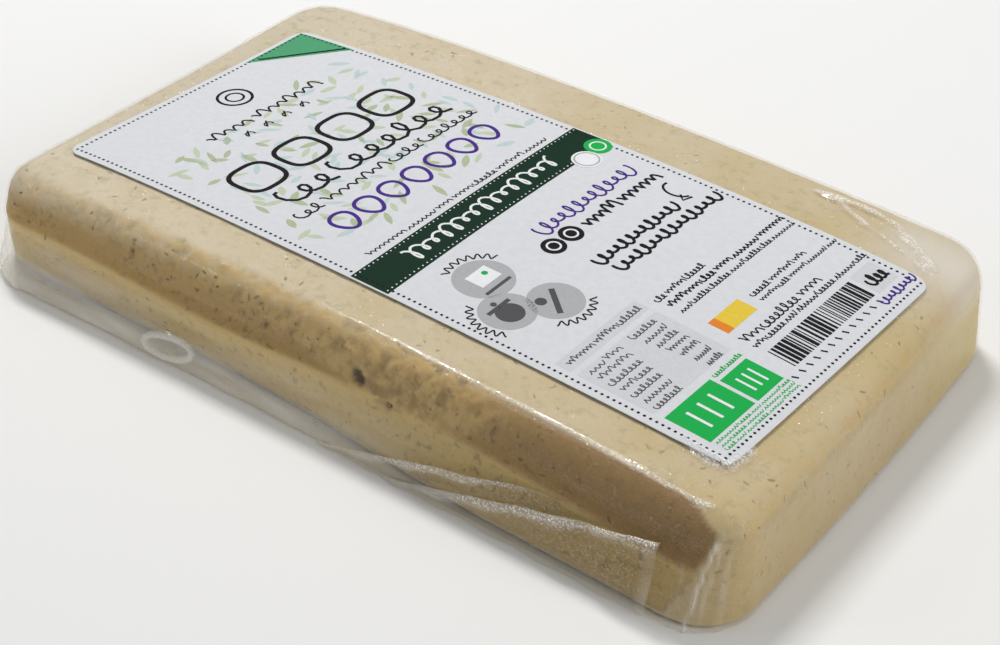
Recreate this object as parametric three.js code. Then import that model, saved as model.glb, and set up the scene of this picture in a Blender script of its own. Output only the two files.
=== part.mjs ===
// A block of tofu shrunk tight into a clear vacuum bag, with a printed label on its upper face.
// Millimetres, +Z up. The block lies flat on Z = 0 with its length along X, and the long side
// where the bag's spare film is folded down faces -Y. The origin is the middle of its base.

import * as THREE from 'three';

// The block is cut by hand: its ends lean, and its long sides are hollow. These give its base outline.
const LENGTH = 140.2;
const WIDTH = 86.9;
const HEIGHT = 16.8; // level of the upper face at the two ends
const ARCH_RISE = 2.2; // how much higher it stands at mid length
const ARCH_TILT = 0.35; // share by which the arch is higher still at the +Y side
const END_LEAN = -0.0585; // travel of an end along X for each millimetre along Y
const END_BOW = 1.1; // swell of the +X end at mid width
const BACK_SPREAD = 0.018; // share by which the +Y side runs out towards the +X end
const FRONT_SPREAD = -0.014; // the same for the -Y side, which draws in towards that end
const BACK_BOW = -0.6; // both long sides are slightly hollow at mid length
const FRONT_BOW = -1;
const PLAN_RADIUS = 9.4;

// Rounding of the upper and lower edges, and the splay of the walls towards the base.
const TOP_RADIUS = 3.6;
const FRONT_TOP_RADIUS = 5.4;
const BASE_RADIUS = 1.4;
const FRONT_BASE_RADIUS = 0.7;
const WALL_SPLAY = 1.5;

// The front wall: set back under the upper edge, a pressed ridge, then film down to the base.
const FRONT_SET_BACK = 3;
const RIDGE_HEIGHT = 9.8;
const RIDGE_WAVE = 0.7;
const RIDGE_WAVE_ALONG = 13;
const RIDGE_STAND = 0.8;
const RIDGE_HALF_DEPTH = 1.3;

// The spare film folded down over the front wall: a long triangle that starts at the base and
// is tallest where it ends square, short of the +X corner.
const FLAP_START = 14;
const FLAP_END = 58.5;
const FLAP_HEIGHT = 10.6;
const FLAP_STAND = 1.1;
const FLAP_SLOPE = 3; // height over which the film above the fold falls back to the wall

// Beyond the flap the film spans free from the block to the surface and makes a small tent.
const TENT_AT = 65.5;
const TENT_HALF_WIDTH = 4;
const TENT_STAND = 1.6;

// The upper face falls away towards its rim, and has slow waves.
const CROWN_DROP = 0.9;
const CROWN_POWER = 10;
const WAVE_HEIGHT = 0.28;
const WAVE_ALONG = 21;
const WAVE_ACROSS = 17;

const LABEL_LENGTH = 124.6;
const LABEL_WIDTH = 55;
const LABEL_RADIUS = 2.6;
const LABEL_THICKNESS = 0.2;
const LABEL_GAP = 0.2; // clearance between the label and the film under it
const LABEL_SHIFT_X = 0.85;
const LABEL_SHIFT_Y = -0.85;

const LONG_STEPS = 30;
const END_STEPS = 18;
const CORNER_STEPS = 5;
const WALL_STEPS = 6;
const EDGE_STEPS = 4;
const TOP_RINGS = [0.95, 0.87, 0.76, 0.62, 0.44, 0.23];
const LABEL_STEPS_LONG = 26;
const LABEL_STEPS_ACROSS = 12;

const { clamp, lerp, smoothstep } = THREE.MathUtils;

// How far the arch of the block lifts its upper face at a place.
function archRise(x, y) {
  const along = clamp(2 * x / LENGTH, -1, 1);
  const across = clamp(2 * y / WIDTH, -1, 1);
  return ARCH_RISE * (1 - along * along) * (1 + ARCH_TILT * across);
}

// Level of the upper face: an arched plateau with a slow wave along and another across.
function faceLevel(x, y) {
  const slow = Math.sin(x / WAVE_ALONG + 0.6) * Math.cos(y / WAVE_ACROSS);
  const cross = 0.6 * Math.cos(x / (1.6 * WAVE_ALONG) - y / (0.9 * WAVE_ACROSS));
  const toEnd = Math.min(1, Math.abs(2 * x / LENGTH)) ** CROWN_POWER;
  const toSide = Math.min(1, Math.abs(2 * y / WIDTH)) ** CROWN_POWER;
  const drop = CROWN_DROP * Math.min(1, toEnd + toSide);
  return HEIGHT + archRise(x, y) - drop + WAVE_HEIGHT * (slow + cross);
}

// The footprint as points going round anticlockwise, each with the way it faces: straight sides
// joined by quarter circles, before the block's own crookedness is applied.
function footprint() {
  const inLength = LENGTH / 2 - PLAN_RADIUS;
  const inWidth = WIDTH / 2 - PLAN_RADIUS;
  const corners = [[1, -1], [1, 1], [-1, 1], [-1, -1]];
  const points = [];
  corners.forEach(([sideX, sideY], k) => {
    for (let i = 0; i <= CORNER_STEPS; i++) {
      const angle = (k - 1 + i / CORNER_STEPS) * Math.PI / 2;
      const facing = new THREE.Vector2(Math.cos(angle), Math.sin(angle));
      const centre = new THREE.Vector2(sideX * inLength, sideY * inWidth);
      points.push({ at: facing.clone().multiplyScalar(PLAN_RADIUS).add(centre), facing });
    }
    const [nextX, nextY] = corners[(k + 1) % 4];
    const from = points.at(-1);
    const to = new THREE.Vector2(nextX * inLength, nextY * inWidth)
      .addScaledVector(from.facing, PLAN_RADIUS);
    const steps = nextX === sideX ? END_STEPS : LONG_STEPS;
    for (let i = 1; i < steps; i++) {
      points.push({ at: from.at.clone().lerp(to, i / steps), facing: from.facing });
    }
  });
  return points;
}

// Lean of the ends, bow of the +X one, spread of the width and hollow of the long sides.
function crooked(x, y) {
  const along = clamp(2 * x / LENGTH, -1, 1);
  const across = clamp(2 * y / WIDTH, -1, 1);
  const spread = 1 + (y > 0 ? BACK_SPREAD : FRONT_SPREAD) * along;
  const sideBow = (y > 0 ? BACK_BOW : -FRONT_BOW) * (1 - along * along) * across * across;
  const endBow = END_BOW * (1 - across * across) * Math.max(0, along) ** 3;
  return new THREE.Vector2(x + END_LEAN * y + endBow, y * spread + sideBow);
}

// How far the film stands out over the folded-down flap at a place on the front wall.
function flapStand(x, z) {
  if (x < FLAP_START || x > FLAP_END) return 0;
  const fold = FLAP_HEIGHT * (x - FLAP_START) / (FLAP_END - FLAP_START);
  const rise = z < fold ? z / fold : Math.max(0, 1 - (z - fold) / FLAP_SLOPE);
  return FLAP_STAND * rise * smoothstep(fold, 0, FLAP_SLOPE);
}

// How far the film stands out in the tent by the +X corner: furthest at the base.
function tentStand(x, z) {
  const fromMiddle = (x - TENT_AT) / TENT_HALF_WIDTH;
  return TENT_STAND * Math.exp(-fromMiddle * fromMiddle) * Math.max(0, 1 - z / RIDGE_HEIGHT);
}

// How far the front wall lies inside the base outline.
function frontInset(x, z) {
  const setBack = FRONT_SET_BACK * smoothstep(z, 0, HEIGHT - FRONT_TOP_RADIUS);
  const ridge = RIDGE_HEIGHT + RIDGE_WAVE * Math.sin(x / RIDGE_WAVE_ALONG);
  const fromRidge = (z - ridge) / RIDGE_HALF_DEPTH;
  const pressed = RIDGE_STAND * Math.exp(-fromRidge * fromRidge);
  return setBack - pressed - flapStand(x, z) - tentStand(x, z);
}

// How far a plain wall lies inside the base outline: it splays out evenly towards the base.
function plainInset(z) {
  return WALL_SPLAY * z / HEIGHT;
}

// The section of a wall from the base to the upper face, as levels. Each gives a height and an
// inset for a place whose share of "front wall" is given.
function wallLevels() {
  const rim = HEIGHT - CROWN_DROP;
  const levels = [];
  for (let i = 0; i < EDGE_STEPS; i++) {
    const turn = i / EDGE_STEPS * Math.PI / 2;
    levels.push((front) => {
      const radius = lerp(BASE_RADIUS, FRONT_BASE_RADIUS, front);
      return { z: radius * (1 - Math.cos(turn)), cut: radius * (1 - Math.sin(turn)) };
    });
  }
  for (let i = 0; i <= WALL_STEPS; i++) {
    levels.push((front) => {
      const low = lerp(BASE_RADIUS, FRONT_BASE_RADIUS, front);
      const high = rim - lerp(TOP_RADIUS, FRONT_TOP_RADIUS, front);
      return { z: lerp(low, high, i / WALL_STEPS), cut: 0 };
    });
  }
  for (let i = 1; i <= EDGE_STEPS; i++) {
    const turn = i / EDGE_STEPS * Math.PI / 2;
    levels.push((front) => {
      const radius = lerp(TOP_RADIUS, FRONT_TOP_RADIUS, front);
      return {
        z: rim - radius * (1 - Math.sin(turn)),
        cut: radius * (1 - Math.cos(turn)),
      };
    });
  }
  return levels;
}

// One closed surface: rings round the wall from the base up, then rings shrinking over the top.
function packGeometry() {
  const around = footprint();
  const count = around.length;
  const rings = wallLevels().map((level) => around.map(({ at, facing }) => {
    const front = Math.max(0, -facing.y) ** 2;
    const { z, cut } = level(front);
    const inset = cut + lerp(plainInset(z), frontInset(at.x, z), front);
    const point = crooked(at.x - facing.x * inset, at.y - facing.y * inset);
    return new THREE.Vector3(point.x, point.y, z * (1 + archRise(at.x, at.y) / HEIGHT));
  }));
  const rim = rings.at(-1);
  rim.forEach((p) => {
    p.z = faceLevel(p.x, p.y);
  });
  for (const share of TOP_RINGS) {
    rings.push(rim.map((p) => {
      const x = p.x * share;
      const y = p.y * share;
      return new THREE.Vector3(x, y, faceLevel(x, y));
    }));
  }
  const vertices = rings.flat();
  const base = vertices.push(new THREE.Vector3(LENGTH / 9, WIDTH / 11, 0)) - 1;
  const crown = vertices.push(new THREE.Vector3(0, 0, faceLevel(0, 0))) - 1;
  const index = [];
  for (let i = 0; i < count; i++) {
    const next = (i + 1) % count;
    index.push(base, next, i);
    for (let ring = 0; ring < rings.length - 1; ring++) {
      const a = ring * count;
      const b = a + count;
      index.push(a + i, a + next, b + next, a + i, b + next, b + i);
    }
    const last = (rings.length - 1) * count;
    index.push(last + i, last + next, crown);
  }
  return closedGeometry(vertices, index);
}

function closedGeometry(vertices, index) {
  const geometry = new THREE.BufferGeometry().setFromPoints(vertices);
  geometry.setIndex(index);
  geometry.computeVertexNormals();
  return geometry;
}

// The label is a rounded rectangle laid over the upper face. A square grid is
// squeezed into its outline: near an end each row shortens by the corner's arc.
function labelGeometry() {
  const halfLength = LABEL_LENGTH / 2;
  const halfWidth = LABEL_WIDTH / 2;
  const place = (i, j, lift) => {
    const y = halfWidth * Math.sin((2 * j / LABEL_STEPS_ACROSS - 1) * Math.PI / 2);
    const intoCorner = Math.max(0, Math.abs(y) - (halfWidth - LABEL_RADIUS));
    const arc = Math.sqrt(Math.max(0, LABEL_RADIUS ** 2 - intoCorner ** 2));
    const reach = halfLength - LABEL_RADIUS + arc;
    const x = reach * (2 * i / LABEL_STEPS_LONG - 1);
    const level = faceLevel(x + LABEL_SHIFT_X, y + LABEL_SHIFT_Y);
    return new THREE.Vector3(x, y, level + LABEL_GAP + lift);
  };
  const vertices = [];
  for (const lift of [0, LABEL_THICKNESS]) {
    for (let j = 0; j <= LABEL_STEPS_ACROSS; j++) {
      for (let i = 0; i <= LABEL_STEPS_LONG; i++) vertices.push(place(i, j, lift));
    }
  }
  const row = LABEL_STEPS_LONG + 1;
  const layer = row * (LABEL_STEPS_ACROSS + 1);
  const index = [];
  const quad = (a, b, c, d) => index.push(a, b, c, a, c, d);
  for (let j = 0; j < LABEL_STEPS_ACROSS; j++) {
    for (let i = 0; i < LABEL_STEPS_LONG; i++) {
      const a = j * row + i;
      quad(a, a + row, a + row + 1, a + 1);
      quad(layer + a, layer + a + 1, layer + a + row + 1, layer + a + row);
    }
    const left = j * row;
    const right = left + row - 1;
    quad(left, left + layer, left + row + layer, left + row);
    quad(right, right + row, right + row + layer, right + layer);
  }
  for (let i = 0; i < LABEL_STEPS_LONG; i++) {
    const back = LABEL_STEPS_ACROSS * row + i;
    quad(i, i + 1, i + 1 + layer, i + layer);
    quad(back, back + layer, back + layer + 1, back + 1);
  }
  return closedGeometry(vertices, index);
}

// Tofu seen through its film: warm cream, as glossy as the plastic over it.
const sealedTofu = new THREE.MeshStandardMaterial({
  color: 0xd9c9a3,
  roughness: 0.28,
  metalness: 0,
});

// White coated label paper.
const labelPaper = new THREE.MeshStandardMaterial({
  color: 0xe9e8ea,
  roughness: 0.4,
  metalness: 0,
});

const pack = new THREE.Mesh(packGeometry(), sealedTofu);
pack.name = 'sealed_pack';
const label = new THREE.Mesh(labelGeometry(), labelPaper);
label.name = 'label';

// The middle of the pack's base goes to the origin, and the label keeps its place on it.
pack.geometry.computeBoundingBox();
const middle = pack.geometry.boundingBox.getCenter(new THREE.Vector3());
pack.position.set(-middle.x, -middle.y, 0);
label.position.set(LABEL_SHIFT_X - middle.x, LABEL_SHIFT_Y - middle.y, 0);

const block = new THREE.Group();
block.name = 'sealed_tofu_block';
block.add(pack, label);

export default block;
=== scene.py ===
import bpy
import numpy as np
from mathutils import Matrix, Vector


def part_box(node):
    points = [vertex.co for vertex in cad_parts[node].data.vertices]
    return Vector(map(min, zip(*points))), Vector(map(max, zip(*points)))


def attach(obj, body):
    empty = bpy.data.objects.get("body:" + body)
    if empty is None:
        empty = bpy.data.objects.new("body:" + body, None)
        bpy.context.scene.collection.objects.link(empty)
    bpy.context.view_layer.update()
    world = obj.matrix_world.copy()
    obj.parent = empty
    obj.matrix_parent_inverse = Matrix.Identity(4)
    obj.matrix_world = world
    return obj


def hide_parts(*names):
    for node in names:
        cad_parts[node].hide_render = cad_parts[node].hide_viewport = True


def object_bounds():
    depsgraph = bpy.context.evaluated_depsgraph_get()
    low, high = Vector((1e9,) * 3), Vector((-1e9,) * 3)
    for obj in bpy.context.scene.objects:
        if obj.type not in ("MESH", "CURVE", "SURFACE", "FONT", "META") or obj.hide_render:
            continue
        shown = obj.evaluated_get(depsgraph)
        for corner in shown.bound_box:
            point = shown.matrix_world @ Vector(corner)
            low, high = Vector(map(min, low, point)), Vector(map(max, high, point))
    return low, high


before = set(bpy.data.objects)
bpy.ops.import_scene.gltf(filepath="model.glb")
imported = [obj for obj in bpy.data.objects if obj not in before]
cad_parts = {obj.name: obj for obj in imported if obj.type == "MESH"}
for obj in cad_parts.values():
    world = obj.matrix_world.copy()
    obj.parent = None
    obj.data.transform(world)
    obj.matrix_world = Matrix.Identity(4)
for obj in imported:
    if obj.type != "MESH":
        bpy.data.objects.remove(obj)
cad_low, cad_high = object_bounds()

# ---------------------------------------------------------------------------------------------
# The tofu: one flat block of pressed soya curd with chopped herbs in it. It was cut by hand, so
# its ends lean and its upper face arches, and the vacuum pulled its front wall in under the
# upper edge. It only lies in its film, and everything else is shrunk or stuck round it.

block_length, block_width, block_height = 0.1402, 0.0869, 0.0168
arch_rise, arch_tilt = 0.0022, 0.35
end_lean, end_bow = -0.0585, 0.0011
back_spread, front_spread = 0.018, -0.014
back_hollow, front_hollow = -0.0006, 0.001
plan_radius = 0.0094
top_radius, front_top_radius = 0.0036, 0.0054
base_radius, front_base_radius = 0.0014, 0.0007
wall_splay, front_set_back = 0.0015, 0.003
crown_drop, crown_power = 0.0009, 10
wave_height, wave_along, wave_across = 0.00028, 0.021, 0.017
ridge_height, ridge_wave, ridge_wave_along = 0.0098, 0.0007, 0.013
ridge_stand, ridge_half_depth = 0.0008, 0.0013

# The label sits this far off the block's own middle, which places the block in the frame.
label_offset = np.array([0.00085, -0.00085])
label_low, label_high = (np.array(corner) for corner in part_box("label"))
label_middle = (label_low + label_high)[:2] / 2
block_middle = label_middle - label_offset

film_gap = 0.00032  # between the curd and the outside of its film


def smooth(value, low, high):
    """0 below low, 1 above high, and 3t^2 - 2t^3 between them."""
    share = np.clip((value - low) / (high - low), 0, 1)
    return share * share * (3 - 2 * share)


def outline(corner_steps, front_steps, end_steps, back_steps):
    """Rounded rectangle, anticlockwise from the front's +X end. A corner is its centre plus
    plan_radius * (cos turn, sin turn), and straight stretches join the corners."""
    reach = np.array([block_length, block_width]) / 2 - plan_radius
    corners = ((1, -1, end_steps), (1, 1, back_steps), (-1, 1, end_steps), (-1, -1, front_steps))
    places, facings = [], []
    for k, (side_x, side_y, steps) in enumerate(corners):
        turn = np.pi / 2 * (k - 1 + np.arange(corner_steps + 1) / corner_steps)
        around = np.stack([np.cos(turn), np.sin(turn)], axis=1)
        arc = reach * (side_x, side_y) + plan_radius * around
        next_x, next_y, _ = corners[(k + 1) % 4]
        target = reach * (next_x, next_y) + plan_radius * around[-1]
        share = np.arange(1, steps)[:, None] / steps
        places += [arc, arc[-1] + share * (target - arc[-1])]
        facings += [around, np.repeat(around[-1:], steps - 1, axis=0)]
    return np.concatenate(places), np.concatenate(facings)


def crooked(x, y):
    """Each end leans by end_lean * y, the +X end bows, the width spreads along the length, and
    both long sides are hollow by a share 1 - (2x / length)^2 of their depth."""
    along = np.clip(2 * x / block_length, -1, 1)
    across = np.clip(2 * y / block_width, -1, 1)
    spread = 1 + np.where(y > 0, back_spread, front_spread) * along
    hollow = np.where(y > 0, back_hollow, front_hollow) * (1 - along**2) * across**2
    bow = end_bow * (1 - across**2) * np.maximum(0, along) ** 3
    return x + end_lean * y + bow, y * spread + hollow


def arch(x, y):
    """The upper face stands higher by arch_rise * (1 - (2x / length)^2), and more at the back."""
    along = np.clip(2 * x / block_length, -1, 1)
    across = np.clip(2 * y / block_width, -1, 1)
    return arch_rise * (1 - along**2) * (1 + arch_tilt * across)


def face_level(x, y):
    """Height of the pack's upper face: height + arch - a fall to the rim by the tenth power of
    the share of the way out + a slow wave along and another across."""
    slow = np.sin(x / wave_along + 0.6) * np.cos(y / wave_across)
    cross = 0.6 * np.cos(x / (1.6 * wave_along) - y / (0.9 * wave_across))
    out = np.minimum(1, np.abs(2 * x / block_length)) ** crown_power
    out += np.minimum(1, np.abs(2 * y / block_width)) ** crown_power
    fall = crown_drop * np.minimum(1, out)
    return block_height + arch(x, y) - fall + wave_height * (slow + cross)


def ridge_at(run):
    """Height of the line along which the front film leaves the curd: a slow sine."""
    return ridge_height + ridge_wave * np.sin(run / ridge_wave_along)


def film_front(run, height):
    """How far the front film lies inside the base outline: a set-back that eases in from the
    base to the upper edge, less a bell-shaped ridge."""
    back = front_set_back * smooth(height, 0, block_height - front_top_radius)
    away = (height - ridge_at(run)) / ridge_half_depth
    return back - ridge_stand * np.exp(-away * away)


def curd_front(run, height):
    """As the film above the ridge. Below it the curd keeps most of the ridge's set-back and draws
    in by hollow * share^1.3: a lot at the -X end, and hardly at the +X end, where it follows
    the film."""
    left = 1 - smooth(run, -0.020, 0.035)
    share = np.clip(1 - height / ridge_at(run), 0, 1)
    film = film_front(run, height)
    straight = film_front(run, np.maximum(height, ridge_at(run)))
    return film + (straight - film) * (0.15 + 0.70 * left) + (0.0003 + 0.0022 * left) * share**1.3


def wrapped(gap, front_inset, steps, wall_rows, round_rows, face_rows):
    """The closed skin of the block as rings, from the middle of its base to the middle of its
    upper face: base disc, quarter round, wall, quarter round, upper face. A wall point is
    outline - facing * (gap + rounding + inset), made crooked. The length takes the ends' rounding
    and inset and the width the long sides' own, so that a corner is a quarter ellipse. Also gives
    each ring's height before the arch, and for each point round it the run along the front and
    the front share."""
    places, facings = outline(*steps)
    front = np.maximum(0, -facings[:, 1]) ** 2
    corner_x = block_length / 2 - plan_radius
    run = np.clip(places[:, 0], -corner_x, corner_x)
    run = run + plan_radius * np.arctan2(facings[:, 0], -facings[:, 1])
    run = np.where(facings[:, 1] > 0.01, 1.0, run)
    low = base_radius + (front_base_radius - base_radius) * front
    high = top_radius + (front_top_radius - top_radius) * front
    rim = block_height - crown_drop
    bottom_turn = np.linspace(0, np.pi / 2, 6)[:-1, None]
    wall_share = np.linspace(0, 1, wall_rows)[:, None]
    top_turn = np.linspace(0, np.pi / 2, round_rows + 1)[1:, None]
    height = np.concatenate([
        low * (1 - np.cos(bottom_turn)),
        low + (rim - high - low) * wall_share,
        rim - high * (1 - np.sin(top_turn)),
    ])
    at_front = facings[:, 1] < 0
    insets = [wall_splay * height / block_height]
    insets.append(np.where(at_front, front_inset(run, height), insets[0]))
    offsets = []
    for inset, side_low, side_high in (
        (insets[0], base_radius + 0 * front, top_radius + 0 * front),
        (insets[1], np.where(at_front, front_base_radius, base_radius),
         np.where(at_front, front_top_radius, top_radius)),
    ):
        cut = np.concatenate([side_low * (1 - np.sin(bottom_turn)), 0 * side_low * wall_share,
                              side_high * (1 - np.cos(top_turn))])
        offsets.append(gap + cut + inset)
    flat = places - facings * np.stack(offsets, axis=2)
    x, y = crooked(flat[..., 0], flat[..., 1])
    lift = 1 + arch(places[:, 0], places[:, 1]) / block_height
    z = gap + height * lift * (1 - 2 * gap / block_height)
    missing = face_level(x[-1], y[-1]) - gap - z[-1]
    z = z + missing * smooth(height, rim - high, rim)
    walls = np.stack([x, y, z], axis=2)
    near = np.linspace(1, 0.62, face_rows)[1:]
    shares = np.concatenate([near, np.linspace(near[-1], 0.02, 8)[1:]])[:, None]
    face_x, face_y = x[-1] * shares, y[-1] * shares
    face = np.stack([face_x, face_y, face_level(face_x, face_y) - gap], axis=2)
    base_shares = np.linspace(0.02, 1, 6)[:-1, None]
    base = np.stack([x[0] * base_shares, y[0] * base_shares, 0 * x[0] * base_shares + gap], axis=2)
    rings = np.concatenate([base, walls, face])
    rings[..., :2] += block_middle
    levels = np.concatenate([np.zeros((len(base), 1)) + height[:1], height,
                             np.zeros((len(face), 1)) + height[-1:]])
    return rings, levels, run, front


def facing_out(rings):
    """The way each point of a ring surface faces: the step to the next point round, crossed with
    the step to the next ring."""
    round_step = np.roll(rings, -1, axis=1) - np.roll(rings, 1, axis=1)
    up_step = np.gradient(rings, axis=0)
    normal = np.cross(round_step, up_step)
    return normal / np.maximum(np.linalg.norm(normal, axis=2, keepdims=True), 1e-12)


def random_field(points, cell, seed):
    """Smooth random field from -1 to 1: a random number for each corner of a cubic lattice of
    that cell, blended across the cell by 3t^2 - 2t^3 along each axis. The number is the corner's
    three counts and the seed, each times a large odd number and mixed bit by bit."""
    place = points / cell + 4096
    low = np.floor(place).astype(np.int64)
    part = place - low
    part = part * part * (3 - 2 * part)
    total = np.zeros(points.shape[:-1])
    for corner in range(8):
        step = np.array([corner & 1, corner >> 1 & 1, corner >> 2 & 1])
        at = low + step
        mixed = at[..., 0] * 73856093 ^ at[..., 1] * 19349663 ^ at[..., 2] * 83492791 ^ seed * 9973
        mixed = (mixed ^ mixed >> 13) * 1274126177 & 0x7FFFFFFF
        value = ((mixed ^ mixed >> 15) & 0xFFFF) / 32767.5 - 1
        total += value * np.prod(np.where(step == 1, part, 1 - part), axis=-1)
    return total


def mesh_piece(name, points, faces, masks, material):
    """A smooth-shaded mesh at the origin, with its place in its points, crisp where it turns by
    more than 50 degrees, and with its masks stored as one number a point. A face of three
    corners repeats its last one."""
    mesh = bpy.data.meshes.new(name)
    points = np.asarray(points, float).reshape(-1, 3)
    corners = [face[:3] if face[2] == face[3] else face for face in np.asarray(faces).tolist()]
    mesh.from_pydata(points.tolist(), [], corners)
    mesh.polygons.foreach_set("use_smooth", np.ones(len(mesh.polygons), bool))
    for mask, values in (masks or {}).items():
        layer = mesh.attributes.new(mask, "FLOAT", "POINT")
        layer.data.foreach_set("value", np.asarray(values, np.float32).ravel())
    mesh.update()
    mesh.set_sharp_from_angle(angle=np.radians(50))
    made = bpy.data.objects.new(name, mesh)
    bpy.context.scene.collection.objects.link(made)
    mesh.materials.append(material)
    return made


def ring_faces(rows, columns):
    """Squares between rings that close on themselves, and a fan at each end to its middle."""
    here = np.arange(columns)
    after = np.roll(here, -1)
    start = np.arange(rows - 1)[:, None] * columns
    squares = np.stack([start + here, start + after, start + columns + after,
                        start + columns + here], axis=2).reshape(-1, 4)
    bottom, top = rows * columns, rows * columns + 1
    last = (rows - 1) * columns
    under = np.stack([after, here, here * 0 + bottom, here * 0 + bottom], axis=1)
    over = np.stack([last + here, last + after, here * 0 + top, here * 0 + top], axis=1)
    return np.concatenate([squares, under, over])


def skin_piece(name, rings, masks, material):
    """A closed piece from rings: their middles close both ends."""
    rows, columns = rings.shape[:2]
    points = np.concatenate([rings.reshape(-1, 3), [rings[0].mean(0)], [rings[-1].mean(0)]])
    closed = {}
    for mask, values in masks.items():
        closed[mask] = np.append(values.ravel(), [values[0].mean(), values[-1].mean()])
    return mesh_piece(name, points, ring_faces(rows, columns), closed, material)


def plug(tree, socket, value):
    """Sets an input to a value, or links it where the value is another node's output."""
    if isinstance(value, bpy.types.NodeSocket):
        tree.links.new(value, socket)
    else:
        socket.default_value = value


def add_node(tree, kind, **inputs):
    """A shader node with its inputs given by name."""
    made = tree.nodes.new(kind)
    for name, value in inputs.items():
        plug(tree, made.inputs[name.replace("_", " ")], value)
    return made


def noise(tree, cell, detail=3.0, roughness=0.55):
    """Cloudy noise on the piece's own place, with blots of about that size: 0 to 1."""
    place = add_node(tree, "ShaderNodeTexCoord").outputs["Object"]
    made = add_node(tree, "ShaderNodeTexNoise", Vector=place, Scale=1 / cell, Detail=detail,
                    Roughness=roughness)
    return made.outputs["Fac"]


def ramp(tree, value, low, high, out_low=0.0, out_high=1.0):
    """A value stretched from low..high to out_low..out_high and held at both ends."""
    made = add_node(tree, "ShaderNodeMapRange", Value=value, From_Min=low, From_Max=high,
                    To_Min=out_low, To_Max=out_high)
    return made.outputs["Result"]


def reckon(tree, operation, *values):
    """One sum on numbers or outputs."""
    made = tree.nodes.new("ShaderNodeMath")
    made.operation = operation
    for socket, value in zip(made.inputs, values):
        plug(tree, socket, value)
    return made.outputs[0]


def tint(tree, factor, first, second):
    """The first colour where factor is 0, the second where it is 1."""
    made = tree.nodes.new("ShaderNodeMix")
    made.data_type = "RGBA"
    for socket, value in zip((made.inputs[0], made.inputs[6], made.inputs[7]),
                             (factor, first, second)):
        plug(tree, socket, value)
    return made.outputs[2]


def mask(tree, name):
    """A number stored on the mesh's points."""
    made = tree.nodes.new("ShaderNodeAttribute")
    made.attribute_name = name
    return made.outputs["Fac"]


def principled(name, **inputs):
    """A material of one Principled shader: the material, its node tree and the shader."""
    made = bpy.data.materials.new(name)
    made.use_nodes = True
    tree = made.node_tree
    tree.nodes.clear()
    shader = add_node(tree, "ShaderNodeBsdfPrincipled", **inputs)
    out = add_node(tree, "ShaderNodeOutputMaterial")
    tree.links.new(shader.outputs[0], out.inputs["Surface"])
    return made, tree, shader


curd_steps = (16, 380, 120, 200)
curd, curd_level, curd_run, curd_share = wrapped(film_gap, curd_front, curd_steps, 38, 18, 32)
curd_out = facing_out(curd)
curd_ridge = ridge_at(curd_run)

# Crumbs and pores: the pressed faces are fine, and the front's upper edge is torn into crumbs,
# which reach furthest down the wall a little right of its middle.
rim_level = block_height - crown_drop
crumb_foot = 0.0128 - 0.0042 * np.exp(-(((curd_run - 0.013) / 0.014) ** 2))
torn = curd_share * smooth(curd_level, crumb_foot - 0.001, crumb_foot + 0.001)
torn = torn * (1 - smooth(curd_level, rim_level - 0.0004, rim_level - 0.00003))
torn = torn * (1 - 0.9 * smooth(curd_run, 0.022, 0.036)) * (0.45 + 0.55 * smooth(curd_run, -0.06, -0.01))
crumbs = 0.00032 * random_field(curd, 0.0021, 1) + 0.00018 * random_field(curd, 0.0010, 2)
crumbs += 0.00010 * random_field(curd, 0.0005, 3)
front_wall = curd_share * smooth(curd_level, curd_ridge - 0.001, curd_ridge + 0.001)
front_wall = front_wall * (1 - smooth(curd_level, rim_level - 0.002, rim_level))
fine = 0.00005 * random_field(curd, 0.0028, 6) + 0.00003 * random_field(curd, 0.0009, 7)
rough = fine + 0.00008 * front_wall * random_field(curd, 0.0015, 4)
small_pits = np.maximum(0, random_field(curd, 0.0013, 8) - 0.72) * 0.0016 * (0.3 + 0.7 * front_wall)
pores = (
    # pores in the front wall, the first two the deepest: run, height, half length, half width,
    # lean, depth
    (0.0068, 0.0114, 0.0014, 0.0007, -0.5, 0.0009),
    (0.0126, 0.0092, 0.0006, 0.0006, 0.0, 0.0007),
    (-0.0110, 0.0120, 0.0007, 0.0004, 0.6, 0.0005),
    (-0.0380, 0.0131, 0.0008, 0.0004, -0.3, 0.0005),
)
deep = 0 * curd_run
for run, height, long, short, lean, depth in pores:
    along = (curd_run - run) * np.cos(lean) + (curd_level - height) * np.sin(lean)
    across = (curd_level - height) * np.cos(lean) - (curd_run - run) * np.sin(lean)
    deep = deep + depth * np.exp(-((along / long) ** 2) - (across / short) ** 2)
depth = small_pits - rough - torn * (crumbs - 0.00004) + deep * curd_share
depth = np.maximum(depth, -0.00020)
curd = curd - curd_out * depth[..., None]

# Where the wall, the torn crumbs, the pale line of the ridge and the smooth foot below it lie. The wall's
# brown is partly the cut curd's own tone and partly painted shade.
off_base = smooth(curd_level, 0.0004, 0.0016)
right_half = smooth(curd_run, -0.01, 0.03) * (curd_run < 0.5)
# Painted shade: the wall's brown starts just under the front rounding, where the shade starts, and lower at
# the -X end and at the +X corner.
corner_drop = 0.0016 * smooth(curd_run, 0.0610, 0.0680)
left_drop = 0.0008 * (1 - smooth(curd_run, -0.050, -0.005))
drop_from = 0.0003 + left_drop + corner_drop
drop_to = 0.0026 - 0.0018 * right_half + left_drop + corner_drop
all_wall = off_base * (1 - smooth(curd_level, rim_level - drop_to, rim_level - drop_from))
# Painted shade edge: the front's brown ends sharply just short of the +X corner, where the lit end meets
# the shaded front.
wall_end = 0.0672 - 0.5 * np.maximum(0, 0.0140 - curd_level)
front_side = smooth(curd_share, 0.50, 0.64) * (1 - smooth(curd_run, wall_end - 0.0006, wall_end + 0.0005))
left_side = np.maximum(0, -curd_out[..., 0]) * smooth(curd_level, curd_ridge - 0.002, curd_ridge)
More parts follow.
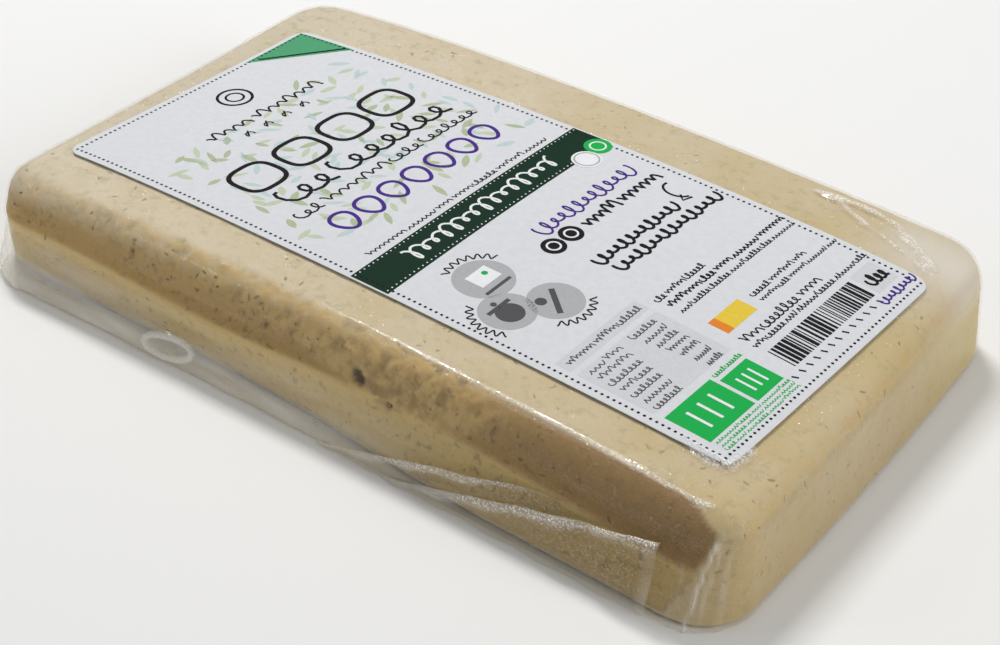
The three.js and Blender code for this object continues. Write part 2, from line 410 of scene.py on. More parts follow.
# Painted light and shade on the foot below the ridge: over the curd's own yellow it is lighter toward the
# -X end, for light bounced up from the floor, and a darker olive toward the +X end, painted shade under the
# flaps.
foot = front_side * off_base * (1 - smooth(curd_level, curd_ridge - 0.0012, curd_ridge - 0.0002))
# Painted light: a pale line along the ridge, where the film's shelf catches the light, fainter on the +X
# half.
ridge_light = front_side * np.exp(-(((curd_level - curd_ridge + 0.0004) / 0.0006) ** 2))
right_rim = np.maximum(0, curd_out[..., 0]) ** 2 * (1 - front_side)
right_rim = right_rim * np.exp(-(((curd_level - rim_level + 0.0014) / 0.0010) ** 2))
wall_lip = np.exp(-(((curd_level - rim_level + (drop_from + drop_to) / 2) / 0.00022) ** 2))
wall_lip = wall_lip * front_side * smooth(curd_run, 0.020, 0.045) * (curd_run < 0.5)
# Painted shade: the crevices between the torn crumbs are darkened.
crevices = torn * smooth(-crumbs, 0.00002, 0.00026)
back_end = np.maximum(0, curd_out[..., 0]) * smooth(curd[..., 1], 0.004, 0.036)
shape = depth.shape
curd_masks = {
    "wall": all_wall * np.clip(0.22 + 0.78 * front_side + 0.5 * left_side, 0, 1),
    "torn": np.broadcast_to(torn, shape),
    "foot": np.broadcast_to(foot, shape),
    "ridge": np.broadcast_to(ridge_light * (1 - 0.75 * right_half), shape),
    "right_rim": right_rim,
    "lip": wall_lip,
    "back_end": 0.55 * back_end * off_base,
    # Painted shade: pits, pores and crevices are coloured dark brown.
    "pit": np.maximum(smooth(small_pits + deep * curd_share, 0.00016, 0.0006), 0.30 * crevices),
}

cream, golden_cream = (0.662, 0.590, 0.462, 1), (0.580, 0.462, 0.248, 1)
# The wall's tan is the cut curd's own tone; the darker wall brown is painted shade.
wall_tan, wall_shade_brown = (0.51, 0.335, 0.120, 1), (0.260, 0.155, 0.053, 1)
# The foot's yellow is painted lighter for bounced light, and its olive is painted shade.
lit_foot_yellow, shaded_foot_olive = (0.70, 0.53, 0.23, 1), (0.47, 0.34, 0.125, 1)
# The dark brown of pores and crevices is painted shade.
crumb_gold, pore_shade_brown = (0.62, 0.44, 0.185, 1), (0.10, 0.065, 0.03, 1)
lip_red, end_yellow = (0.30, 0.14, 0.055, 1), (0.60, 0.48, 0.18, 1)
speck_brown, vein_olive = (0.17, 0.11, 0.05, 1), (0.42, 0.36, 0.20, 1)

curd_look, tree, curd_shader = principled(
    "pressed curd", Roughness=0.62, Subsurface_Weight=0.2, Subsurface_Scale=0.0009,
    Subsurface_Radius=(1.0, 0.55, 0.25), Specular_IOR_Level=0.3)
place = add_node(tree, "ShaderNodeTexCoord").outputs["Object"]
parts = add_node(tree, "ShaderNodeSeparateXYZ", Vector=place)
dried = reckon(tree, "ADD", ramp(tree, parts.outputs["X"], -0.06, 0.07, 0.0, 0.85),
               ramp(tree, noise(tree, 0.013), 0.35, 0.65, -0.15, 0.25))
curd_colour = tint(tree, dried, cream, golden_cream)
veins = ramp(tree, noise(tree, 0.0019, 4.0, 0.75), 0.53, 0.66, 0.0, 0.55)
# Painted shade: the wall's tone darkens toward the +X corner.
shade_toward_corner = reckon(tree, "POWER", ramp(tree, parts.outputs["X"], -0.045, 0.066), 1.4)
wall_tone_and_shade = tint(tree, shade_toward_corner, wall_tan, wall_shade_brown)
# Painted light and shade: the foot goes from a lit yellow at -X to a shaded olive at +X.
foot_light_and_shade = tint(tree, ramp(tree, parts.outputs["X"], 0.0, 0.045), lit_foot_yellow, shaded_foot_olive)
crumb_share = ramp(tree, noise(tree, 0.0018), 0.42, 0.58, 0.5, 0.95)
blots = ramp(tree, noise(tree, 0.0012, 3.0, 0.65), 0.54, 0.68)
clouds = ramp(tree, noise(tree, 0.0060), 0.38, 0.58, 0.12, 0.62)
rim_share = ramp(tree, noise(tree, 0.004), 0.4, 0.6)
blotted_wall = reckon(tree, "MULTIPLY", mask(tree, "wall"), blots)
# Each tone goes over the ones before it, by its share.
for share, tone in (
    (veins, vein_olive),
    (mask(tree, "wall"), wall_tone_and_shade),
    (mask(tree, "foot"), foot_light_and_shade),
    (reckon(tree, "MULTIPLY", mask(tree, "torn"), crumb_share), crumb_gold),
    (reckon(tree, "MULTIPLY", blotted_wall, clouds), speck_brown),
    # Painted light: the pale line along the ridge.
    (reckon(tree, "MULTIPLY", mask(tree, "ridge"), 0.8), lit_foot_yellow),
    (reckon(tree, "MULTIPLY", mask(tree, "lip"), 0.6), lip_red),
    (mask(tree, "back_end"), end_yellow),
    (reckon(tree, "MULTIPLY", mask(tree, "right_rim"), rim_share), crumb_gold),
    (mask(tree, "pit"), pore_shade_brown),
):
    curd_colour = tint(tree, share, curd_colour, tone)
plug(tree, curd_shader.inputs["Base Color"], curd_colour)
curd_grain = add_node(tree, "ShaderNodeBump", Strength=0.5, Distance=0.00014,
                      Height=noise(tree, 0.0008, 3.0, 0.7))
plug(tree, curd_shader.inputs["Normal"], curd_grain.outputs["Normal"])

tofu = skin_piece("tofu", curd, curd_masks, curd_look)
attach(tofu, "root")

# ---------------------------------------------------------------------------------------------
# The herbs: chopped rosemary leaf, stirred in before pressing. The slivers that reach the surface
# are pressed flat into it, a few dark ones and many that show only faintly through the curd.

fleck_count = 420
fleck_seed = 12
tries = 4 * fleck_count
sliver_rings, sliver_sides = 5, 6
sliver_size = sliver_rings * sliver_sides + 2  # points, with the middles of both ends


def sliver():
    """A blunt sliver just under unit length: rings of points of radius sqrt(1 - (2s)^2)."""
    along = np.array([-0.48, -0.28, 0, 0.28, 0.48])[:, None]
    radius = np.sqrt(1 - (2 * along) ** 2)
    turn = np.arange(sliver_sides) * 2 * np.pi / sliver_sides
    return np.stack([along + 0 * turn, radius * np.cos(turn), radius * np.sin(turn)], axis=2)


rolls = np.random.default_rng(fleck_seed)
rows = rolls.integers(10, len(curd) - 8, tries)
columns = rolls.integers(0, curd.shape[1], tries)
on_wall = front_wall[rows, columns]
crowd = 0.16 + 0.5 * on_wall + 0.25 * random_field(curd[rows, columns], 0.012, 20)
crowd = crowd * (1 - 0.8 * np.broadcast_to(foot, shape)[rows, columns])
keep = rolls.random(tries) < crowd
rows, columns = rows[keep][:fleck_count], columns[keep][:fleck_count]
count = len(rows)
at, out = curd[rows, columns], curd_out[rows, columns]
lay = rolls.normal(size=(count, 3))
lay -= out * (lay * out).sum(1, keepdims=True)
lay /= np.linalg.norm(lay, axis=1, keepdims=True)
side = np.cross(out, lay)
long = rolls.uniform(0.0004, 0.0013, count)
wide = rolls.uniform(0.00010, 0.00026, count)
thick = rolls.uniform(0.00003, 0.00006, count)
unit = sliver()
bend = (unit[..., 0] ** 2 * 4 - 0.3) * 0.12
slivers = at[:, None, None] + unit[..., 0, None] * (long[:, None] * lay)[:, None, None]
slivers = slivers + unit[..., 1, None] * (wide[:, None] * side)[:, None, None]
bend_by = (rolls.normal(0, 0.6, count) * long)[:, None, None, None]
slivers = slivers + bend[..., None] * bend_by * side[:, None, None]
slivers = slivers + unit[..., 2, None] * (thick[:, None] * out)[:, None, None]
ends = slivers[:, [0, -1]].mean(axis=2)
sliver_points = np.concatenate([slivers.reshape(count, -1, 3), ends], axis=1)
sliver_faces = ring_faces(sliver_rings, sliver_sides)
sliver_faces = (sliver_faces + np.arange(count)[:, None, None] * sliver_size).reshape(-1, 4)
on_wall = on_wall[keep][:fleck_count]
dark = rolls.random(count) ** 2.0 * (0.25 + 0.75 * on_wall)
dark = np.maximum(dark, 0.30 * on_wall)
shade = np.repeat(dark, sliver_size)

faint_herb, dark_herb, green_herb = (0.46, 0.37, 0.21, 1), (0.16, 0.088, 0.032, 1), (0.27, 0.20, 0.07, 1)
herb_look, tree, herb_shader = principled("chopped herb", Roughness=0.7, Specular_IOR_Level=0.1)
herb_colour = tint(tree, mask(tree, "shade"), faint_herb, dark_herb)
greener = ramp(tree, noise(tree, 0.0005), 0.4, 0.6, 0.0, 0.35)
plug(tree, herb_shader.inputs["Base Color"], tint(tree, greener, herb_colour, green_herb))
herbs = mesh_piece("herb_flecks", sliver_points, sliver_faces, {"shade": shade}, herb_look)
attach(herbs, "root")

# ---------------------------------------------------------------------------------------------
# The vacuum film: clear film with a fine embossed grain, shrunk tight on the curd. On the front
# it leaves the curd at the ridge and spans to the base, where it is hazy, creased and dimpled.
# At both front corners it is gathered into pleats, most of them at the +X one.

film_steps = (24, 360, 70, 130)
film, film_level, film_run, film_share = wrapped(0.0, film_front, film_steps, 38, 26, 42)
film_out = facing_out(film)


def fold(u, v, start, end, height, half_width):
    """A folded crest along a line: height * exp(-(distance from the line / half width)^2)."""
    line = np.array(end) - start
    share = np.clip(((u - start[0]) * line[0] + (v - start[1]) * line[1]) / (line @ line), 0, 1)
    away = np.hypot(u - start[0] - share * line[0], v - start[1] - share * line[1])
    return height * np.exp(-((away / half_width) ** 2))


def swell(u, v, middle, long, short, lean, height):
    """An oval swelling: height * exp(-(along / long)^2 - (across / short)^2)."""
    du, dv = u - middle[0], v - middle[1]
    along = (du * np.cos(lean) + dv * np.sin(lean)) / long
    across = (dv * np.cos(lean) - du * np.sin(lean)) / short
    return height * np.exp(-along * along - across * across)


# Pleats at the two front corners, each a path of (run along the front, height) with how far its
# crest stands and how wide it is.
pleat_lines = (
    (((0.0668, 0.0128), (0.0662, 0.0108), (0.0652, 0.0068), (0.0649, 0.0041), (0.0643, 0.0)),
     0.00036, 0.00040),
    (((0.0678, 0.0141), (0.0675, 0.0110), (0.0665, 0.0069), (0.0661, 0.0034), (0.0658, 0.0)),
     0.00022, 0.00045),
    (((0.0692, 0.0118), (0.0688, 0.0060), (0.0690, 0.0)), 0.00018, 0.00080),
    (((0.0628, 0.0100), (0.0618, 0.0)), 0.00016, 0.00060),
    (((-0.0640, 0.0100), (-0.0610, 0.0)), 0.00025, 0.00090),
    (((-0.0660, 0.0090), (-0.0680, 0.0)), 0.00025, 0.00090),
)
# Crests in loose film on the upper face, each a path of (x, y) with its height and half width: a
# long loop at the back +X corner with a tail down the end. One more runs round the label's corner.
face_creases = (
    (((0.0374, 0.0363), (0.0414, 0.0359), (0.0444, 0.0344), (0.0484, 0.0327), (0.0511, 0.0321),
      (0.0541, 0.0309), (0.0562, 0.0304), (0.0588, 0.0292), (0.0608, 0.0284)), 0.00036, 0.00072),
    (((0.0396, 0.0367), (0.0423, 0.0368), (0.0445, 0.0370), (0.0467, 0.0372), (0.0498, 0.0366),
      (0.0523, 0.0359), (0.0545, 0.0344), (0.0566, 0.0333), (0.0592, 0.0313), (0.0618, 0.0297)),
     0.00042, 0.00085),
    (((0.0532, 0.0343), (0.0570, 0.0325), (0.0600, 0.0304)), 0.00034, 0.00065),
    (((0.0618, 0.0285), (0.0641, 0.0266), (0.0656, 0.0246), (0.0665, 0.0217)), 0.00024, 0.00040),
)
corner_arc = ((0.0572, -0.0282), (0.0597, -0.0289), (0.0613, -0.0290), (0.0628, -0.0280),
              (0.0632, -0.0255), (0.0632, -0.0232))
# The glinting line along the front upper edge, on its turn into the wall, and its bright end.
edge_path = ((0.0025, -0.0348), (0.0097, -0.0353), (0.0167, -0.0354), (0.0259, -0.0356),
             (0.0343, -0.0356), (0.0428, -0.0357), (0.0509, -0.0360), (0.0574, -0.0361),
             (0.0622, -0.0361), (0.0636, -0.0361))
edge_end = (0.0642, -0.0360)


def crest(u, v, path, height, half_width):
    """A crest along a path of straight stretches, by the distance to the nearest of them."""
    stretches = zip(path[:-1], path[1:])
    return np.max([fold(u, v, start, end, height, half_width) for start, end in stretches], axis=0)


on_front = smooth(film_share, 0.02, 0.3) * (film_level < rim_level) * (film_level > 0.00002)
slack = film_share * (1 - smooth(film_level, ridge_at(film_run) - 0.003, ridge_at(film_run) + 0.001))
slack = slack * (film_level > 0.0002)
pleats = sum(crest(film_run, film_level, *line) for line in pleat_lines) * on_front
turn = np.linspace(0, 2 * np.pi, 15)
blister = np.stack([-0.0285 + 0.0048 * np.cos(turn) - 0.0006 * np.sin(turn),
                    0.0027 + 0.0015 * np.sin(turn) + 0.0008 * np.cos(turn)], axis=1)
dimples = 0.00022 * random_field(film, 0.0045, 30) + 0.00010 * random_field(film, 0.0016, 31)

x, y, z = film[..., 0], film[..., 1], film[..., 2]
up_high = z > 0.0125  # the upper face and its rounded edges
label_crease = crest(x, y, corner_arc, 1.0, 0.00065) * up_high
edge_line = crest(x, y, edge_path, 1.0, 0.00030) * smooth(x, 0.002, 0.020) * up_high
edge_line = edge_line + swell(x, y, edge_end, 0.0012, 0.0007, 0.3, 1.0) * up_high
creases = sum(crest(x, y, *line) for line in face_creases) * up_high
creases = creases * (0.8 + 0.35 * random_field(film, 0.0014, 32))
rim_of_blister = crest(film_run, film_level, blister, 0.00045, 0.00055) * on_front
end_bands = np.abs(film_out[..., 0]) * 0.00010 * random_field(film * (0, 1, 0.15), 0.0042, 34)
tight = (1 - slack) * 0.00003 * random_field(film, 0.006, 33)
relief = pleats + rim_of_blister + slack * dimples + creases + 0.00005 * edge_line
relief = relief + 0.00022 * label_crease
relief = relief + (tight + end_bands * (film_level > 0.0015)) * (film_level > 0.0002)
film = film + film_out * relief[..., None]
film[..., 2] = np.maximum(film[..., 2], 0)

drawn = np.stack([x * 0.35 + z * 0.5, 0 * y, z * 1.2], axis=2)
streaks = 0.5 + 0.5 * random_field(drawn, 0.0028, 35)
long_streaks = random_field(np.stack([x * 0.16 + z * 0.3, 0 * y, z * 1.5], axis=2), 0.0017, 36)
left_haze = slack * (0.05 + 0.44 * (1 - smooth(film_run, -0.02, 0.035)))
left_haze = left_haze * (1.5 - 1.2 * film_level / ridge_at(film_run))
# The milky white over the loose film at the back +X corner and the veil beside it are partly the loose
# film's haze and partly painted sheen; the blister's rim is painted milky white for its ring of glare.
loose = swell(x, y, (0.0530, 0.0360), 0.0150, 0.0045, -0.40, 0.22) * up_high
veil = swell(x, y, (0.0630, 0.0325), 0.0120, 0.0100, 0.0, 0.9) * smooth(z, 0.0095, 0.0180)
loose = (loose + veil) * (0.45 + 0.75 * streaks) + 0.8 * smooth(rim_of_blister, 0.0001, 0.0004)
# Painted glints: along the face's creases, the glinting line of the front edge, the crease round the
# label's corner, the blister's rim and the pleats, the film's dots are painted white, and its bump and
# gloss rise.
crease_and_glint = smooth(creases, 0.00012, 0.00030) + edge_line + label_crease
crease_and_glint = crease_and_glint + 0.6 * smooth(rim_of_blister, 0.00015, 0.0004) + 0.25 * smooth(pleats, 0.0002, 0.0004)
haze = left_haze * (0.40 + 0.8 * streaks + 0.35 * long_streaks) + loose
haze = haze + 0.8 * smooth(pleats, 0.00006, 0.00036) * (0.45 + 0.6 * streaks) + 0.03 * (z > 0.012)


def film_material(name, milky_share, dot_gloss, worn_gloss, gloss_rise):
    """Clear film: see-through, with small raised dots that carry its gloss head on. Where the film
    is creased or glints they grow steeper and glossier and are painted white as painted glints; a
    mirror share rises at a glance by the fifth power of the facing, and a milky share lies where the film
    is hazy."""
    dot_spacing, dot_height = 0.00036, 0.00006
    least_haze, least_gloss = 0.008, 0.003
    milk_white, faint_straw = (0.97, 0.945, 0.89, 1), (0.978, 0.968, 0.945, 1)
    made = bpy.data.materials.new(name)
    made.use_nodes = True
    tree = made.node_tree
    tree.nodes.clear()
    place = add_node(tree, "ShaderNodeTexCoord").outputs["Object"]
    grain = add_node(tree, "ShaderNodeTexVoronoi", Vector=place, Scale=1 / dot_spacing,
                     Randomness=0.7)
    raised = ramp(tree, grain.outputs["Distance"], 0.24, 0.44, 1.0, 0.0)
    steepness = reckon(tree, "MULTIPLY_ADD", mask(tree, "crease_and_glint"), 0.5, 0.45)
    bump = add_node(tree, "ShaderNodeBump", Strength=steepness, Distance=dot_height,
                    Height=raised)
    mirror = add_node(tree, "ShaderNodeBsdfGlossy", Color=(1, 1, 1, 1), Roughness=0.08,
                      Normal=bump.outputs["Normal"])
    clear = add_node(tree, "ShaderNodeBsdfTransparent", Color=faint_straw)
    lit = add_node(tree, "ShaderNodeBsdfDiffuse", Color=milk_white)
    glowing = add_node(tree, "ShaderNodeBsdfTranslucent", Color=milk_white)
    milk = add_node(tree, "ShaderNodeMixShader", Fac=0.05)
    tree.links.new(lit.outputs[0], milk.inputs[1])
    tree.links.new(glowing.outputs[0], milk.inputs[2])
    hazed = reckon(tree, "MULTIPLY_ADD", mask(tree, "haze"), milky_share, least_haze)
    # Painted glints: the raised dots are painted milky white where the film is creased or glints.
    spotted = ramp(tree, grain.outputs["Distance"], 0.36, 0.52, 1.0, 0.30)
    painted_glint_dots = reckon(tree, "MULTIPLY", mask(tree, "crease_and_glint"), spotted)
    haze_and_glint = reckon(tree, "MAXIMUM", hazed, painted_glint_dots)
    hazy = add_node(tree, "ShaderNodeMixShader", Fac=haze_and_glint)
    tree.links.new(clear.outputs[0], hazy.inputs[1])
    tree.links.new(milk.outputs[0], hazy.inputs[2])
    facing = add_node(tree, "ShaderNodeLayerWeight", Blend=0.5)
    steep = reckon(tree, "POWER", facing.outputs["Facing"], 5.0)
    gloss = reckon(tree, "MULTIPLY_ADD", mask(tree, "crease_and_glint"), worn_gloss, dot_gloss)
    dotted = reckon(tree, "MULTIPLY_ADD", raised, gloss, least_gloss)
    share = reckon(tree, "MULTIPLY_ADD", steep, gloss_rise, dotted)
    whole = add_node(tree, "ShaderNodeMixShader", Fac=share)
    tree.links.new(hazy.outputs[0], whole.inputs[1])
    tree.links.new(mirror.outputs[0], whole.inputs[2])
    out = add_node(tree, "ShaderNodeOutputMaterial")
    tree.links.new(whole.outputs[0], out.inputs["Surface"])
    return made


film_look = film_material("embossed clear film", 0.65, 0.065, 0.32, 0.55)
film_piece = skin_piece("vacuum_film", film, {"haze": np.clip(haze, 0, 1), "crease_and_glint": np.clip(crease_and_glint, 0, 1)},
                        film_look)
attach(film_piece, "root")
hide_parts("sealed_pack")

# ---------------------------------------------------------------------------------------------
# The spare film: the bag's sealed edge, folded down over the front wall in two layers. Each is
# the same film, with a soft round fold along its upper edge that stands a little off the wall.
# The outer one rises from the base right of mid length and ends square near the +X corner.

film_thickness = 0.00005
flap_rows, lip_steps, drop_steps = 260, 12, 24
spare_folds = (
    # name, start and end of the fold as (run, height), radius of the fold, how it ends
    ("inner_film_fold", (0.0015, 0.0004), (0.0430, 0.0094), 0.00032, "fading"),
    ("outer_film_flap", (0.0140, 0.0004), (0.0585, 0.0107), 0.00050, "square"),
)


def front_place(run, height, stand):
    """Place on the straight stretch of the front, standing off the film by that much."""
    x, y = crooked(run, -block_width / 2 + film_front(run, height) - stand)
    lift = 1 + arch(run, -block_width / 2) / block_height
    return np.stack([x + block_middle[0], y + block_middle[1], height * lift], axis=-1)


def closed_sheet(top, bottom):
    """Points and faces of a thin closed sheet: an upper grid, a lower grid turned over, and a
    strip round their edges."""
    rows, columns = top.shape[:2]
    upper = np.arange(rows * columns).reshape(rows, columns)
    lower = upper + rows * columns
    over = np.stack([upper[:-1, :-1], upper[:-1, 1:], upper[1:, 1:], upper[1:, :-1]], -1)
    under = np.stack([lower[:-1, :-1], lower[1:, :-1], lower[1:, 1:], lower[:-1, 1:]], -1)
    loop = np.concatenate([upper[0, :-1], upper[:-1, -1], upper[-1, :0:-1], upper[:0:-1, 0]])
    after = np.roll(loop, -1)
    step = rows * columns
    strip = np.stack([loop, loop + step, after + step, after], -1)
    points = np.concatenate([top.reshape(-1, 3), bottom.reshape(-1, 3)])
    return points, np.concatenate([over.reshape(-1, 4), under.reshape(-1, 4), strip])


def grid_facing(grid):
    """The way a grid faces: its second direction crossed with its first."""
    normal = np.cross(np.gradient(grid, axis=1), np.gradient(grid, axis=0))
    return normal / np.maximum(np.linalg.norm(normal, axis=2, keepdims=True), 1e-12)


def outer_line(run):
    """Height of the outer flap's fold over a run: a straight rise between its two ends."""
    _, start, end, _, _ = spare_folds[1]
    return start[1] + (end[1] - start[1]) * (run - start[0]) / (end[0] - start[0])


for name, start, end, radius, ending in spare_folds:
    share = np.linspace(0, 1, flap_rows)[:, None]
    run = start[0] + (end[0] - start[0]) * share
    top = start[1] + (end[1] - start[1]) * share + 0.00018 * np.sin(share * 17) * share
    lip = np.minimum(radius * (1 + 0.25 * np.sin(share * 31 + 1)), 0.45 * top)
    turn = np.linspace(np.pi, 0, lip_steps)[None]
    drop = np.linspace(0, 1, drop_steps)[None, 1:]
    foot_line = np.clip(outer_line(run) - 0.0002, 0, top - 1.2 * lip) if ending == "fading" else 0 * top
    height = top - lip - (top - lip - foot_line) * drop
    height = np.concatenate([top - lip + lip * np.sin(turn), height], axis=1)
    stand = np.concatenate([lip * (1 + np.cos(turn)), lip * (2 - 0.9 * drop)], axis=1)
    close = np.clip((share - 0.975) / 0.025, 0, 1)
    taper = np.sqrt(1 - close**2) if ending == "square" else 1 - smooth(share, 0.6, 1.0)
    sheet = front_place(run, np.maximum(height, 0.0001), stand * taper + 0.00006)
    dents = 0.00012 * random_field(sheet, 0.0042, 40) + 0.00005 * random_field(sheet, 0.0015, 41)
    facing = grid_facing(sheet)
    sheet = sheet + facing * (dents * smooth(stand, 0, radius) * taper)[..., None]
    lip_line = np.exp(-(((top - height) / (1.8 * radius)) ** 2))
    edge = smooth(share, 0.955, 0.985) if ending == "square" else 0 * share
    cloud = 0.5 + 0.5 * random_field(sheet, 0.0035, 42)
    # Painted glints along each fold's edge: the haze paints it milky, and the creased mask paints its dots
    # white and makes it glossier, less toward the fold's end.
    sheet_haze = np.clip((0.01 + 0.40 * lip_line * taper + 0.15 * edge) * (0.4 + 0.9 * cloud), 0, 1)
    creased = 0.85 * lip_line * taper * smooth(share, 0.15, 0.4) * (1 - 0.45 * smooth(share, 0.6, 0.9))
    points, faces = closed_sheet(sheet, sheet - facing * film_thickness)
    masks = {"haze": np.tile(sheet_haze.ravel(), 2), "crease_and_glint": np.tile(creased.ravel(), 2)}
    flap = mesh_piece(name, points, faces, masks, film_look)
    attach(flap, "root")
    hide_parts("sealed_pack")

# ---------------------------------------------------------------------------------------------
# The label: matt paper-like film, stuck flat on the pack's upper face. It follows the arch of
# the face and has round corners, and its front +X corner is a little crinkled.

label_length, label_width, label_radius = 0.1246, 0.055, 0.0026
label_rise, label_foot = 0.00016, 0.00003


def label_level(x, y):
    """Height of the label's upper side over a place measured from the label's middle: the
    pack's upper face, the paper's thickness, and a few short crinkles at one corner."""
    crinkle = fold(x, y, (0.0548, -0.0268), (0.0612, -0.0270), 0.00022, 0.0005)
    crinkle = crinkle + fold(x, y, (0.0600, -0.0268), (0.0617, -0.0235), 0.00016, 0.0005)
    return face_level(x + label_offset[0], y + label_offset[1]) + label_rise + crinkle


def on_label(x, y, lift):
    """Places on the label, that far above its upper side."""
    return np.stack([x + label_middle[0], y + label_middle[1], label_level(x, y) + lift], -1)


def rounded_grid(length, width, radius, steps_x, steps_y, corner):
    """A grid squeezed into a rounded rectangle: in each corner square, a place (a, b) in radii
    moves to (a * sqrt(1 - b^2 / 2), b * sqrt(1 - a^2 / 2))."""
    def line(size, steps):
        turn = np.linspace(0, 1, corner)
        inner = np.linspace(radius - size / 2, size / 2 - radius, steps)
        return np.concatenate([radius - size / 2 - radius * turn[:0:-1], inner,
                               size / 2 - radius + radius * turn[1:]])
    x, y = np.meshgrid(line(length, steps_x), line(width, steps_y))
    a = np.maximum(0, (np.abs(x) - length / 2 + radius) / radius)
    b = np.maximum(0, (np.abs(y) - width / 2 + radius) / radius)
    squeezed_x = x - np.sign(x) * radius * a * (1 - np.sqrt(1 - b * b / 2))
    squeezed_y = y - np.sign(y) * radius * b * (1 - np.sqrt(1 - a * a / 2))
    return squeezed_x, squeezed_y


grain_group = bpy.data.node_groups.new("print grain", "ShaderNodeTree")
for name, kind, value in (("Grain", "NodeSocketFloat", 0.0006), ("Depth", "NodeSocketFloat", 0.00005)):
    grain_group.interface.new_socket(name, in_out="INPUT", socket_type=kind).default_value = value
grain_group.interface.new_socket("Mottle", in_out="OUTPUT", socket_type="NodeSocketFloat")
grain_group.interface.new_socket("Normal", in_out="OUTPUT", socket_type="NodeSocketVector")
given, result = grain_group.nodes.new("NodeGroupInput"), grain_group.nodes.new("NodeGroupOutput")
fibres = add_node(grain_group, "ShaderNodeTexNoise", Detail=2.0, Roughness=0.6,
                  Vector=add_node(grain_group, "ShaderNodeTexCoord").outputs["Object"],
                  Scale=reckon(grain_group, "DIVIDE", 1.0, given.outputs["Grain"]))
raised = add_node(grain_group, "ShaderNodeBump", Strength=0.35, Distance=given.outputs["Depth"],
                  Height=fibres.outputs["Fac"])
grain_group.links.new(ramp(grain_group, fibres.outputs["Fac"], 0.35, 0.65), result.inputs["Mottle"])
grain_group.links.new(raised.outputs["Normal"], result.inputs["Normal"])


def matt_print(name, full, thin, grain_size):
    """A matt printed finish: two near tones mixed by the grain, which also roughens it."""
    made, tree, shader = principled(name, Specular_IOR_Level=0.08)
    grain = tree.nodes.new("ShaderNodeGroup")
    grain.node_tree = grain_group
    grain.inputs["Grain"].default_value = grain_size
    plug(tree, shader.inputs["Base Color"], tint(tree, grain.outputs["Mottle"], full, thin))
    plug(tree, shader.inputs["Roughness"], ramp(tree, grain.outputs["Mottle"], 0, 1, 0.68, 0.78))
    plug(tree, shader.inputs["Normal"], grain.outputs["Normal"])
    return made


paper_look = matt_print("matt label", (0.70, 0.714, 0.745, 1), (0.667, 0.68, 0.71, 1), 0.0011)

x, y = rounded_grid(label_length, label_width, label_radius, 250, 110, 7)
upper = on_label(x, y, 0)
lower = on_label(x, y, label_foot - label_rise)
label = mesh_piece("label_sheet", *closed_sheet(upper, lower), {}, paper_look)
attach(label, "root")
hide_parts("label")

# ---------------------------------------------------------------------------------------------
# The print: inks on the label, laid as thin slabs that follow it. The lettering and all marks
# are left out, and plain waves, loops, hooks, ovals, discs, fields and dots hold their places.
# The lines of waves run across the label, from one long side to the other.

mm, hundredth = 0.001, 0.00001
ink_foot = -0.00003
ink_slabs = {}


def lay(ink, x, y, lift):
    """A slab of ink over a grid of places (mm from the label's middle), lifted by that many
    hundredths of a mm. A grid that runs the other way round is turned to face up."""
    x, y = np.asarray(x, float) * mm, np.asarray(y, float) * mm
    turn = np.gradient(x, axis=1) * np.gradient(y, axis=0) - np.gradient(y, axis=1) * np.gradient(x, axis=0)
    if turn.sum() < 0:
        x, y = x[::-1], y[::-1]
    ink_slabs.setdefault(ink, []).append(
        closed_sheet(on_label(x, y, lift * hundredth), on_label(x, y, ink_foot)))


def field(ink, x_ends, y_ends, lift=2, pitch=1.5):
    """A flat field of ink: a grid with squares no longer than the pitch."""
    counts = [int(abs(ends[1] - ends[0]) / pitch) + 2 for ends in (x_ends, y_ends)]
    x, y = np.meshgrid(np.linspace(*x_ends, counts[0]), np.linspace(*y_ends, counts[1]))
    lay(ink, x, y, lift)


def disc(ink, x, y, radius, lift=3, steps=9):
    """A round field: a square grid with (u, v) moved to (u sqrt(1 - v^2/2), v sqrt(1 - u^2/2))."""
    u, v = np.meshgrid(np.linspace(-1, 1, steps), np.linspace(-1, 1, steps))
    lay(ink, x + radius * u * np.sqrt(1 - v * v / 2), y + radius * v * np.sqrt(1 - u * u / 2), lift)


def stroke(ink, x, y, width, lift=4):
    """A line of ink of that width along a path: the path moved to each side by half the width
    across its own direction."""
    x, y = np.asarray(x, float), np.asarray(y, float)
    along_x, along_y = np.gradient(x), np.gradient(y)
    size = np.hypot(along_x, along_y) + 1e-9
    side = np.array([-1.0, 1.0])[:, None] * width / 2
    lay(ink, x - side * along_y / size, y + side * along_x / size, lift)


def ring(ink, x, y, radius, width, lift=3, round_by=2 * np.pi, start=0.0):
    """A circle or an arc drawn with a stroke."""
    turn = start + np.linspace(0, round_by, 40)
    stroke(ink, x + radius * np.cos(turn), y + radius * np.sin(turn), width, lift)


def scribble(ink, x, y_ends, height, width, letters, seed):
    """A line of word-like waves that stand for lettering, one wave a letter, in words of four to
    eight. A word's waves are arches |sin|, cups -|sin|, or leaning loops, and each letter has
    its own height."""
    rolls = np.random.default_rng(seed)
    span = y_ends[1] - y_ends[0]
    first = 0
    while first < letters:
        last = min(letters, first + rolls.integers(4, 9))
        last = letters if letters - last < 3 else last
        t = np.linspace(first, last - 0.45, (last - first) * 8)
        tall = np.where(rolls.random(letters + 2) < 0.25, 1.0, 0.68)[t.astype(int)]
        kind = rolls.integers(3)
        arch_wave = 1 - 2 * np.abs(np.sin(np.pi * t)) ** 0.7
        wave = (arch_wave, -arch_wave, np.cos(2 * np.pi * t))[kind]
        lean = 0.42 * np.sin(2 * np.pi * t) if kind == 2 else 0
        stroke(ink, x + height / 2 * (1 - tall) + height / 2 * tall * wave,
               y_ends[0] + span * (t + lean) / letters, width)
        first = last


